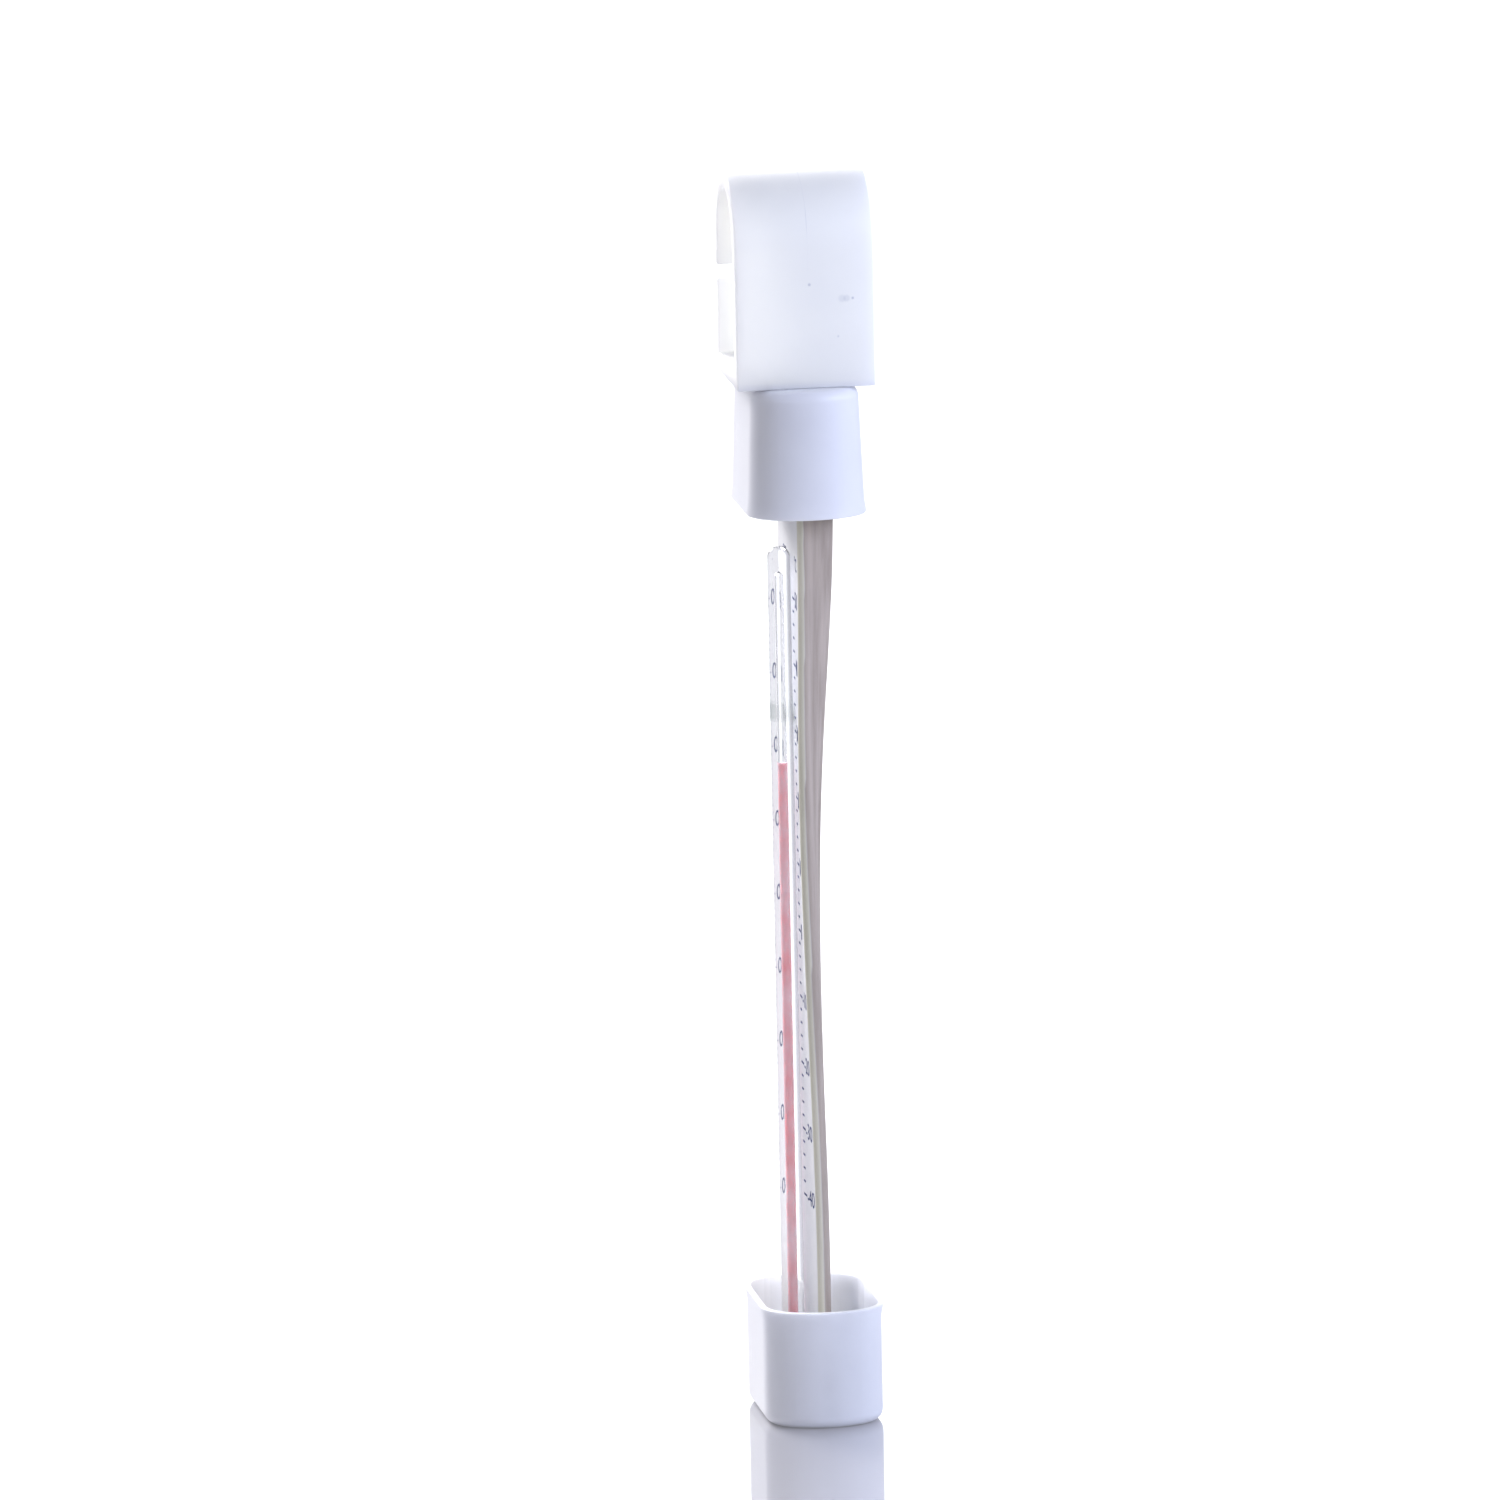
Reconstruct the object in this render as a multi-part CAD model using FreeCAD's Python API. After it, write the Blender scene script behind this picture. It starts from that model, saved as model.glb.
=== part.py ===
import FreeCAD, Part
import math
import os

# Hanging and standing tube thermometer, in millimetres.
# +Z is up and the scale faces -Y. The origin is the centre of the bottom cap's underside.
# The clip's loop runs along Y, so the scale faces the front when a rail running front to back is gripped.

V = FreeCAD.Vector

# caps: flat sides at +-Y, bowed ends at +-X, rounded corners between them
CAP_HALF_WIDTH = 7.9
CAP_HALF_DEPTH = 12.8
CAP_SAGITTA = 3.4
CAP_CORNER_R = 5.8
CAP_WALL = 0.9
CAP_FLOOR = 1.2
CAP_CEILING = 1.3
CAP_EDGE_R = 1.5
RIM_FLARE = 0.35
RIM_FLARE_HEIGHT = 1.8

BOTTOM_CAP_HEIGHT = 15.7
TOP_RIM_Z = 121.6
TOP_CAP_Z = 138.5
TOP_RIM_INSET = 0.15
TOP_END_INSET = 0.72

RIB_THICKNESS = 0.8
RIB_LENGTH = 9.0
RIB_SIDE_X = 4.5
RIB_CLEARANCE = 0.03

MARK_X = -4.0
MARK_FROM_RIM = 9.3
MARK_HEIGHT = 2.4
MARK_WIDTH = 0.22
MARK_DEPTH = 0.18

# clip: a band bent into a loop with a snap gap in its back wall
CLIP_HALF_WIDTH = 9.15
CLIP_HALF_DEPTH = 9.2
CLIP_WALL = 2.3
CLIP_BASE = 2.4
CLIP_ARCH_Z = 157.0
CLIP_GAP_LOW = 150.9
CLIP_GAP_HIGH = 152.65
CLIP_EDGE_R = 0.2

# clear tube: the same kind of section as the caps
TUBE_HALF_WIDTH = 5.45
TUBE_HALF_DEPTH = 10.9
TUBE_SAGITTA = 2.4
TUBE_CORNER_R = 1.5
TUBE_WALL = 0.8
TUBE_TOP_Z = 136.6
SEAT_GAP = 0.05

# capillary: a round glass stem whose lower end is thinned into the bulb
STEM_Y = -2.8
STEM_R = 1.5
STEM_TOP_Z = 116.1
BORE_R = 0.425
BORE_TOP_Z = 112.8
BORE_TAPER = 0.7
BULB_BORE_R = 1.1
BULB_FLOOR = 0.7
BULB_TOP_Z = 10.5
BULB_NECK_Z = 12.9

# scale: the coldest mark, the warmest mark and the level shown
MARK_LOW_Z = 29.6
MARK_HIGH_Z = 109.5
SCALE_LOW_C = -40.0
SCALE_HIGH_C = 50.0
READING_C = 25.0
FILL_CLEARANCE = 0.01
COLUMN_CLEARANCE = 0.03

# scale card: a printed panel behind the stem with a flap folded back along each side
CARD_THICKNESS = 0.4
CARD_FRONT_GAP = 0.02
CARD_HALF_WIDTH = 9.3
CARD_TOP_Z = 134.0
FOLD_R = 0.9
FLAP_LENGTH = 3.95
FLAP_CLOSED_DEG = 4.0
FLAP_OPEN_DEG = 84.0
FLAP_LIMIT_DEG = 86.0
FLAP_START_Z = 15.0
FLAP_FULL_Z = 121.6
FLAP_POWER = 2.8
BOW_LOW = -0.5
BOW_RISE = 1.2
BOW_DROP = 0.4
BOW_LOW_Z = 20.0
BOW_HIGH_Z = 85.0
BOW_TOP_Z = 118.0
CARD_SECTIONS = 14

# strap: a clear band round the stem, through two slits in the card
STRAP_LOW_Z = 92.9
STRAP_HIGH_Z = 95.2
STRAP_THICKNESS = 0.22
STRAP_GAP = 0.03
SLIT_CLEARANCE = 0.1

# how far a cutting block runs past the face it cuts
CUT_MARGIN = 1.0

CAP_TOP_INNER_Z = TOP_CAP_Z - CAP_CEILING
CARD_FRONT_Y = STEM_Y + STEM_R + CARD_FRONT_GAP
SCALE_SPAN = MARK_HIGH_Z - MARK_LOW_Z
READING_Z = MARK_LOW_Z + SCALE_SPAN * (READING_C - SCALE_LOW_C) / (SCALE_HIGH_C - SCALE_LOW_C)
STANDING_Z = CAP_FLOOR + SEAT_GAP


def oval_wire(half_width, half_depth, sagitta, corner_r, offset, z):
    """Closed outline with flat sides, bowed ends and rounded corners, grown outwards by offset."""
    end_r = (half_width ** 2 + sagitta ** 2) / (2 * sagitta)
    end_x = half_depth - end_r
    w = half_width + offset
    r = end_r + offset
    f = corner_r + offset
    fillet_x = end_x + math.sqrt((r - f) ** 2 - (w - f) ** 2)
    tangent_x = end_x + r * (fillet_x - end_x) / (r - f)
    tangent_y = r * (w - f) / (r - f)
    mid_angle = (math.pi / 2 + math.atan2(w - f, fillet_x - end_x)) / 2
    mid_x = fillet_x + f * math.cos(mid_angle)
    mid_y = w - f + f * math.sin(mid_angle)
    tip_x = half_depth + offset

    def line(a, b):
        return Part.LineSegment(V(*a, z), V(*b, z)).toShape()

    def arc(a, m, b):
        return Part.Arc(V(*a, z), V(*m, z), V(*b, z)).toShape()

    edges = [
        line((-fillet_x, w), (fillet_x, w)),
        arc((fillet_x, w), (mid_x, mid_y), (tangent_x, tangent_y)),
        arc((tangent_x, tangent_y), (tip_x, 0), (tangent_x, -tangent_y)),
        arc((tangent_x, -tangent_y), (mid_x, -mid_y), (fillet_x, -w)),
        line((fillet_x, -w), (-fillet_x, -w)),
        arc((-fillet_x, -w), (-mid_x, -mid_y), (-tangent_x, -tangent_y)),
        arc((-tangent_x, -tangent_y), (-tip_x, 0), (-tangent_x, tangent_y)),
        arc((-tangent_x, tangent_y), (-mid_x, mid_y), (-fillet_x, w)),
    ]
    return Part.Wire(edges)


def cap_wire(offset, z):
    return oval_wire(CAP_HALF_WIDTH, CAP_HALF_DEPTH, CAP_SAGITTA, CAP_CORNER_R, offset, z)


def tube_solid(offset, z_low, z_high):
    """Straight prism of the tube's section, grown outwards by offset."""
    size = (TUBE_HALF_WIDTH, TUBE_HALF_DEPTH, TUBE_SAGITTA, TUBE_CORNER_R)
    face = Part.Face(oval_wire(*size, offset, z_low))
    return face.extrude(V(0, 0, z_high - z_low))


def box(low, high):
    size = [high[i] - low[i] for i in range(3)]
    return Part.makeBox(*size, V(*low))


def round_end(solid, z, radius):
    """Round the edges that lie in the closed end's plane."""
    edges = [e for e in solid.Edges if e.BoundBox.ZLength < 0.01 and abs(e.BoundBox.ZMin - z) < 0.01]
    return solid.makeFillet(radius, edges)


def ribs(z_low, z_high):
    """Locating ribs as plain blocks through the wall, trimmed later by the cap and the tube."""
    reach = CAP_HALF_DEPTH + CUT_MARGIN
    half = RIB_THICKNESS / 2
    blocks = []
    for side in (-1, 1):
        x = side * RIB_SIDE_X
        blocks.append(box((x - half, -CAP_HALF_WIDTH, z_low), (x + half, CAP_HALF_WIDTH, z_high)))
    blocks.append(box((-reach, -half, z_low), (reach, half, z_high)))
    return blocks


def hollow_cap(outer, cavity, rib_low, rib_high):
    """Shell from an outer form and a cavity, with ribs that stop at the tube."""
    shell = outer.cut(cavity)
    tube_space = tube_solid(RIB_CLEARANCE, rib_low - CUT_MARGIN, rib_high + CUT_MARGIN)
    for block in ribs(rib_low, rib_high):
        shell = shell.fuse(block.common(cavity).cut(tube_space))
    return shell.removeSplitter()


def side_mark(face_y, z_centre):
    """Shallow upright groove in the -Y face."""
    low = (MARK_X - MARK_WIDTH / 2, face_y - CUT_MARGIN, z_centre - MARK_HEIGHT / 2)
    high = (MARK_X + MARK_WIDTH / 2, face_y + MARK_DEPTH, z_centre + MARK_HEIGHT / 2)
    return box(low, high)


def make_bottom_cap():
    flare_z = BOTTOM_CAP_HEIGHT - RIM_FLARE_HEIGHT
    body = Part.makeLoft([cap_wire(0, 0), cap_wire(0, flare_z)], True, True)
    body = round_end(body, 0, CAP_EDGE_R)
    lip = Part.makeLoft([cap_wire(0, flare_z), cap_wire(RIM_FLARE, BOTTOM_CAP_HEIGHT)], True, True)
    cavity = Part.makeLoft([cap_wire(-CAP_WALL, CAP_FLOOR), cap_wire(-CAP_WALL, flare_z)], True, True)
    mouth = Part.makeLoft(
        [cap_wire(-CAP_WALL, flare_z), cap_wire(RIM_FLARE - CAP_WALL, BOTTOM_CAP_HEIGHT)], True, True)
    cavity = cavity.fuse(mouth)
    cap = hollow_cap(body.fuse(lip), cavity, CAP_FLOOR, CAP_FLOOR + RIB_LENGTH)
    return cap.cut(side_mark(-CAP_HALF_WIDTH, BOTTOM_CAP_HEIGHT - MARK_FROM_RIM))


def top_inset(z):
    share = (z - TOP_RIM_Z) / (TOP_CAP_Z - TOP_RIM_Z)
    return TOP_RIM_INSET + (TOP_END_INSET - TOP_RIM_INSET) * share


def make_clip():
    def loop(inset, base_z):
        x = CLIP_HALF_DEPTH - inset
        y = -CLIP_HALF_WIDTH
        corners = [V(-x, y, CLIP_ARCH_Z), V(-x, y, base_z), V(x, y, base_z), V(x, y, CLIP_ARCH_Z)]
        edges = [Part.LineSegment(corners[i], corners[i + 1]).toShape() for i in range(3)]
        edges.append(Part.Arc(corners[3], V(0, y, CLIP_ARCH_Z + x), corners[0]).toShape())
        return Part.Face(Part.Wire(edges)).extrude(V(0, 2 * CLIP_HALF_WIDTH, 0))

    band = loop(0, TOP_CAP_Z).cut(loop(CLIP_WALL, TOP_CAP_Z + CLIP_BASE))
    gap_low = (-CLIP_HALF_DEPTH - CUT_MARGIN, -CLIP_HALF_WIDTH - CUT_MARGIN, CLIP_GAP_LOW)
    gap_high = (-CLIP_HALF_DEPTH + CLIP_WALL + CUT_MARGIN, CLIP_HALF_WIDTH + CUT_MARGIN, CLIP_GAP_HIGH)
    band = band.cut(box(gap_low, gap_high))
    ends = [e for e in band.Edges
            if e.BoundBox.YLength < 0.01 and abs(abs(e.BoundBox.YMin) - CLIP_HALF_WIDTH) < 0.01
            and e.BoundBox.ZMax > TOP_CAP_Z + 0.1]
    return band.makeFillet(CLIP_EDGE_R, ends)


def make_top_cap_with_clip():
    flare_z = TOP_RIM_Z + RIM_FLARE_HEIGHT
    body_wires = [cap_wire(-top_inset(flare_z), flare_z), cap_wire(-TOP_END_INSET, TOP_CAP_Z)]
    body = round_end(Part.makeLoft(body_wires, True, True), TOP_CAP_Z, CAP_EDGE_R)
    lip_wires = [cap_wire(RIM_FLARE / 2 - TOP_RIM_INSET, TOP_RIM_Z), cap_wire(-top_inset(flare_z), flare_z)]
    lip = Part.makeLoft(lip_wires, True, True)
    rim_inner = RIM_FLARE / 2 - TOP_RIM_INSET - CAP_WALL
    cavity = Part.makeLoft(
        [cap_wire(-top_inset(flare_z) - CAP_WALL, flare_z),
         cap_wire(-top_inset(CAP_TOP_INNER_Z) - CAP_WALL, CAP_TOP_INNER_Z)], True, True)
    mouth = Part.makeLoft(
        [cap_wire(rim_inner, TOP_RIM_Z), cap_wire(-top_inset(flare_z) - CAP_WALL, flare_z)], True, True)
    cavity = cavity.fuse(mouth)
    cap = hollow_cap(body.fuse(lip), cavity, CAP_TOP_INNER_Z - RIB_LENGTH, CAP_TOP_INNER_Z)
    mark_z = TOP_RIM_Z + MARK_FROM_RIM
    cap = cap.cut(side_mark(-CAP_HALF_WIDTH + top_inset(mark_z), mark_z))
    return cap.fuse(make_clip()).removeSplitter()


def make_housing_tube():
    outer = tube_solid(0, STANDING_Z, TUBE_TOP_Z)
    return outer.cut(tube_solid(-TUBE_WALL, STANDING_Z - CUT_MARGIN, TUBE_TOP_Z + CUT_MARGIN))


def turned(points, arcs):
    """Solid of revolution about the stem's axis.

    points are (radius, z) from the lower pole to the upper pole. arcs maps a point's index to the
    middle point of the arc that leads from it to the next point.
    """
    corners = [V(radius, 0, z) for radius, z in points]
    edges = []
    for i, (start, end) in enumerate(zip(corners, corners[1:])):
        if i in arcs:
            edges.append(Part.Arc(start, V(arcs[i][0], 0, arcs[i][1]), end).toShape())
        else:
            edges.append(Part.LineSegment(start, end).toShape())
    edges.append(Part.LineSegment(corners[-1], corners[0]).toShape())
    solid = Part.Face(Part.Wire(edges)).revolve(V(0, 0, 0), V(0, 0, 1), 360)
    solid.translate(V(0, STEM_Y, 0))
    return solid


def quarter(radius, z_pole, up):
    """Middle point of a quarter arc between a pole and the wall at the given radius."""
    middle = radius * math.sqrt(0.5)
    return (middle, z_pole + up * (radius - middle))


def bore_points(clearance, z_top):
    bulb_r = BULB_BORE_R - clearance
    bore_r = BORE_R - clearance
    pole = STANDING_Z + BULB_FLOOR + clearance
    return [(0, pole), (bulb_r, pole + bulb_r), (bulb_r, BULB_TOP_Z), (bore_r, BULB_NECK_Z), (bore_r, z_top)]


def make_capillary_glass():
    outline = [(0, STANDING_Z), (STEM_R, STANDING_Z + STEM_R), (STEM_R, STEM_TOP_Z - STEM_R), (0, STEM_TOP_Z)]
    outer = turned(outline, {0: quarter(STEM_R, STANDING_Z, 1), 2: quarter(STEM_R, STEM_TOP_Z, -1)})
    hollow = bore_points(0, BORE_TOP_Z - BORE_TAPER) + [(0, BORE_TOP_Z)]
    pole = STANDING_Z + BULB_FLOOR
    return outer.cut(turned(hollow, {0: quarter(BULB_BORE_R, pole, 1)}))


def make_spirit_bulb():
    fill = bore_points(FILL_CLEARANCE, MARK_LOW_Z) + [(0, MARK_LOW_Z)]
    pole = STANDING_Z + BULB_FLOOR + FILL_CLEARANCE
    return turned(fill, {0: quarter(BULB_BORE_R - FILL_CLEARANCE, pole, 1)})


def make_spirit_column():
    height = READING_Z - MARK_LOW_Z
    return Part.makeCylinder(BORE_R - COLUMN_CLEARANCE, height, V(0, STEM_Y, MARK_LOW_Z))


def smooth_step(value):
    t = min(max(value, 0.0), 1.0)
    return t * t * (3 - 2 * t)


def card_wire(z):
    """Outline of the card at one height: bowed panel, two folds and two flaps."""
    share = max(z - FLAP_START_Z, 0) / (FLAP_FULL_Z - FLAP_START_Z)
    opening = FLAP_CLOSED_DEG + (FLAP_OPEN_DEG - FLAP_CLOSED_DEG) * share ** FLAP_POWER
    bow = BOW_LOW + BOW_RISE * smooth_step((z - BOW_LOW_Z) / (BOW_HIGH_Z - BOW_LOW_Z))
    bow -= BOW_DROP * smooth_step((z - BOW_HIGH_Z) / (BOW_TOP_Z - BOW_HIGH_Z))
    edge_x = CARD_HALF_WIDTH - FOLD_R
    lean = -2 * math.atan(bow / edge_x)
    fold = math.pi - math.radians(min(opening, FLAP_LIMIT_DEG)) - lean
    inner_r = FOLD_R - CARD_THICKNESS
    edge_y = CARD_FRONT_Y - bow
    centre = (edge_x - FOLD_R * math.sin(lean), edge_y + FOLD_R * math.cos(lean))

    def on_fold(radius, turn):
        angle = lean + turn
        return (centre[0] + radius * math.sin(angle), centre[1] - radius * math.cos(angle))

    def flap_end(radius):
        start = on_fold(radius, fold)
        angle = lean + fold
        return (start[0] + FLAP_LENGTH * math.cos(angle), start[1] + FLAP_LENGTH * math.sin(angle))

    outer = [on_fold(FOLD_R, 0), on_fold(FOLD_R, fold / 2), on_fold(FOLD_R, fold), flap_end(FOLD_R)]
    inner = [on_fold(inner_r, 0), on_fold(inner_r, fold / 2), on_fold(inner_r, fold), flap_end(inner_r)]

    def at(point, side):
        return V(side * point[0], point[1], z)

    def line(a, b):
        return Part.LineSegment(a, b).toShape()

    def side_edges(side):
        return [
            Part.Arc(at(outer[0], side), at(outer[1], side), at(outer[2], side)).toShape(),
            line(at(outer[2], side), at(outer[3], side)),
            line(at(outer[3], side), at(inner[3], side)),
            line(at(inner[3], side), at(inner[2], side)),
            Part.Arc(at(inner[2], side), at(inner[1], side), at(inner[0], side)).toShape(),
        ]

    middle_front = V(0, CARD_FRONT_Y, z)
    middle_back = V(0, CARD_FRONT_Y + CARD_THICKNESS, z)
    front = Part.Arc(at(outer[0], -1), middle_front, at(outer[0], 1)).toShape()
    back = Part.Arc(at(inner[0], 1), middle_back, at(inner[0], -1)).toShape()
    left = [edge.reversed() for edge in reversed(side_edges(-1))]
    return Part.Wire([front] + side_edges(1) + [back] + left)


def make_scale_card():
    step = (CARD_TOP_Z - STANDING_Z) / (CARD_SECTIONS - 1)
    wires = [card_wire(STANDING_Z + i * step) for i in range(CARD_SECTIONS)]
    card = Part.makeLoft(wires, True, True)
    slit_inner = STEM_R + STRAP_GAP - SLIT_CLEARANCE
    slit_outer = STEM_R + STRAP_GAP + STRAP_THICKNESS + SLIT_CLEARANCE
    for side in (-1, 1):
        x_low, x_high = sorted((side * slit_inner, side * slit_outer))
        low = (x_low, CARD_FRONT_Y - CUT_MARGIN, STRAP_LOW_Z - SLIT_CLEARANCE)
        high = (x_high, CARD_FRONT_Y + CARD_THICKNESS + CUT_MARGIN, STRAP_HIGH_Z + SLIT_CLEARANCE)
        card = card.cut(box(low, high))
    return card


def make_capillary_strap():
    height = STRAP_HIGH_Z - STRAP_LOW_Z
    back_inner_y = CARD_FRONT_Y + CARD_THICKNESS + STRAP_GAP

    def loop(radius, back_y):
        round_front = Part.makeCylinder(radius, height, V(0, STEM_Y, STRAP_LOW_Z))
        legs = box((-radius, STEM_Y, STRAP_LOW_Z), (radius, back_y, STRAP_HIGH_Z))
        reach = radius + CUT_MARGIN
        front_half = box((-reach, STEM_Y - reach, STRAP_LOW_Z), (reach, STEM_Y, STRAP_HIGH_Z))
        return round_front.common(front_half).fuse(legs)

    inner_r = STEM_R + STRAP_GAP
    outer = loop(inner_r + STRAP_THICKNESS, back_inner_y + STRAP_THICKNESS)
    return outer.cut(loop(inner_r, back_inner_y)).removeSplitter()


PARTS = {
    "top_cap_with_clip": make_top_cap_with_clip,
    "bottom_cap": make_bottom_cap,
    "housing_tube": make_housing_tube,
    "scale_card": make_scale_card,
    "capillary_glass": make_capillary_glass,
    "spirit_bulb": make_spirit_bulb,
    "spirit_column": make_spirit_column,
    "capillary_strap": make_capillary_strap,
}

os.makedirs("parts", exist_ok=True)
for name, make in PARTS.items():
    shape = make()
    if shape.ShapeType == "Compound" and len(shape.Solids) == 1:
        shape = shape.Solids[0]
    print(name, shape.ShapeType, len(shape.Solids), shape.isValid(), round(shape.Volume, 2), shape.BoundBox)
    shape.exportStep("parts/" + name + ".step")
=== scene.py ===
import bmesh
import bpy
import math
from mathutils import Matrix, Vector


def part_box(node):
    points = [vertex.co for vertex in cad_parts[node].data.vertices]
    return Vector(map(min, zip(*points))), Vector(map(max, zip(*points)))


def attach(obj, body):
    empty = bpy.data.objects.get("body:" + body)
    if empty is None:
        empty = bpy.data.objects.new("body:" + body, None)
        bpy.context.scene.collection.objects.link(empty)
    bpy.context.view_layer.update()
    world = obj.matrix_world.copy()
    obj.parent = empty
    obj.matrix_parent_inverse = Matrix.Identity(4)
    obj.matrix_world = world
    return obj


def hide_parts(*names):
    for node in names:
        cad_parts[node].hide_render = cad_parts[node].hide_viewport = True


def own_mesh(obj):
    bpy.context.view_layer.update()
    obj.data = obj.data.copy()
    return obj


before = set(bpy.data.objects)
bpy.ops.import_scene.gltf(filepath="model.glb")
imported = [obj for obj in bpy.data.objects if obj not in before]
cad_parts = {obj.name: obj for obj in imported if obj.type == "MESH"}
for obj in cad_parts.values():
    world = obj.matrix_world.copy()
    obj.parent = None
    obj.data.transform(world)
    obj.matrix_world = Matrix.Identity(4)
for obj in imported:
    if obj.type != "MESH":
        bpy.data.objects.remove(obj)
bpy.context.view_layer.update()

# Tube thermometer: clear flat tube between two white moulded caps, a folded scale card and a glass stem
# inside, and a band clip on the upper cap. Lengths are in millimetres until MM turns them into metres.
# X runs towards the card's right-hand edge, the scale faces -Y, and Z is up.

MM = 0.001
ROOT = "thermometer"
SPIRIT = "spirit"


def node_box(name):
    """Lowest and highest corner of a frame node, in millimetres."""
    low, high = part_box(name)
    return low / MM, high / MM


CAP_HIGH = node_box("bottom_cap")[1]
TOP_LOW, TOP_HIGH = node_box("top_cap_with_clip")
TUBE_LOW, TUBE_HIGH = node_box("housing_tube")
CARD_LOW, CARD_HIGH = node_box("scale_card")
STEM_LOW, STEM_HIGH = node_box("capillary_glass")
COLUMN_LOW, COLUMN_HIGH = node_box("spirit_column")
STRAP_LOW, STRAP_HIGH = node_box("capillary_strap")

# caps
RIM_FLARE = 0.35
RIM_FLARE_HEIGHT = 1.8
CAP_HALF_WIDTH = CAP_HIGH.y - RIM_FLARE
CAP_HALF_DEPTH = CAP_HIGH.x - RIM_FLARE
CAP_SAGITTA = 3.4
CAP_CORNER_R = 5.8
CAP_WALL = 0.9
CAP_FLOOR = 1.2
CAP_EDGE_R = 1.5
CAP_INNER_R = 0.5
RIM_ROUND = 0.12
RIM_CHAMFER_SHARE = 0.3
LIP_EASE = 0.02
TOP_CAP_Z = 138.5
TOP_CEILING_Z = 137.2
TOP_RIM_INSET = 0.15
TOP_END_INSET = 0.72
RIB_THICKNESS = 0.8
RIB_LENGTH = 9.0
RIB_SIDE_X = 4.5
RIB_ROOT = 0.1
RIB_CLEARANCE = 0.03
GROOVE_X = -4.0
GROOVE_FROM_RIM = 9.3
GROOVE_HEIGHT = 2.4
GROOVE_WIDTH = 0.22
GROOVE_DEPTH = 0.18
GROOVE_CUT_MARGIN = 1.0

# clip
CLIP_HALF_WIDTH = TOP_HIGH.y
CLIP_HALF_DEPTH = 9.2
CLIP_WALL = 2.3
CLIP_BASE = 2.4
CLIP_ARCH_Z = TOP_HIGH.z - CLIP_HALF_DEPTH
CLIP_GAP = (150.9, 152.65)
CLIP_BEVEL = 0.22
ARCH_STEPS = 64
PARTING_Y = 0.4
PARTING_FADE = (153.0, 157.0)

# clear tube
TUBE_SAGITTA = 2.4
TUBE_CORNER_R = 1.5
TUBE_WALL = 0.8
TUBE_SIZE = (TUBE_HIGH.y, TUBE_HIGH.x, TUBE_SAGITTA, TUBE_CORNER_R)

# stem
STEM_Y = (STEM_LOW.y + STEM_HIGH.y) / 2
STEM_R = (STEM_HIGH.x - STEM_LOW.x) / 2
STEM_TOP_Z = STEM_HIGH.z
BORE_R = 0.425
BORE_TOP_Z = 112.8
BORE_SHOULDER = 0.7
BORE_NOSE = 0.3
BORE_NOSE_SHARE = 0.7
BULB_BORE_R = 1.1
BULB_POLE_Z = STEM_LOW.z + 0.7
BULB_TOP_Z = 10.5
BULB_NECK_Z = 12.9
WETTING = 0.012
MENISCUS = 0.16
MENISCUS_STEPS = 6

# card and its scale
CARD_THICKNESS = 0.4
CARD_HALF_WIDTH = 9.3
CARD_STANDOFF = 1.52
CARD_FRONT_Y = STEM_Y + CARD_STANDOFF
FOLD_R = 0.9
FLAP_LENGTH = 3.95
FLAP_CLOSED_DEG = 4.0
FLAP_OPEN_DEG = 84.0
FLAP_LIMIT_DEG = 86.0
FLAP_START_Z = 15.0
FLAP_FULL_Z = 121.6
FLAP_POWER = 2.8
FLAP_BEND_DEG = 22.0
FLAP_BELLY_DEG = 4.0
BARE_DEG = 80.0
BOW_LOW = -0.5
BOW_RISE = 1.2
BOW_DROP = 0.4
BOW_LOW_Z = 20.0
BOW_HIGH_Z = 85.0
BOW_TOP_Z = 118.0
MARK_LOW_Z = COLUMN_LOW.z
MARK_HIGH_Z = 109.5
LOW_C = -40
HIGH_C = 50
LOW_F = -40
HIGH_F = 120
READING_Z = COLUMN_HIGH.z
TICK_STEP = 2
NUMBER_STEP_C = 10
NUMBER_STEP_F = 20
FREEZING_F = 32
F_PER_C = 1.8

# the thread moves, and the filler keeps the bore full behind it
THREAD_LOW_Z = BULB_NECK_Z + 0.1
THREAD_GROW = WETTING * 1.5
FILLER_LOW_Z = MARK_LOW_Z - 0.5
FILLER_TOP_Z = READING_Z - 2.0
FILLER_GROW = WETTING * 0.5


# ---------------------------------------------------------------- meshes

def new_piece(name, verts, faces, sharp_deg=35):
    """Mesh object from millimetre points, smooth but for edges sharper than sharp_deg."""
    mesh = bpy.data.meshes.new(name)
    mesh.from_pydata([Vector(v) * MM for v in verts], [], faces)
    mesh.validate()
    obj = bpy.data.objects.new(name, mesh)
    bpy.context.scene.collection.objects.link(obj)
    smooth(obj, sharp_deg)
    return obj


def smooth(obj, sharp_deg=35):
    mesh = obj.data
    mesh.polygons.foreach_set("use_smooth", [True] * len(mesh.polygons))
    mesh.set_sharp_from_angle(angle=math.radians(sharp_deg))


def outward(obj):
    """Merge doubles and point the faces outwards."""
    bm = bmesh.new()
    bm.from_mesh(obj.data)
    bmesh.ops.remove_doubles(bm, verts=bm.verts, dist=0.0005 * MM)
    bmesh.ops.recalc_face_normals(bm, faces=bm.faces)
    bm.to_mesh(obj.data)
    bm.free()


def apply_modifiers(obj):
    """Turn the evaluated object into a plain mesh and drop its modifiers."""
    graph = bpy.context.evaluated_depsgraph_get()
    mesh = bpy.data.meshes.new_from_object(obj.evaluated_get(graph))
    obj.modifiers.clear()
    obj.data = mesh
    return obj


def combine(target, other, operation):
    """Boolean of two closed meshes. The other one is used up."""
    modifier = target.modifiers.new("combine", "BOOLEAN")
    modifier.operation = operation
    modifier.solver = "EXACT"
    modifier.object = other
    apply_modifiers(target)
    bpy.data.objects.remove(other)
    return target


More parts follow.
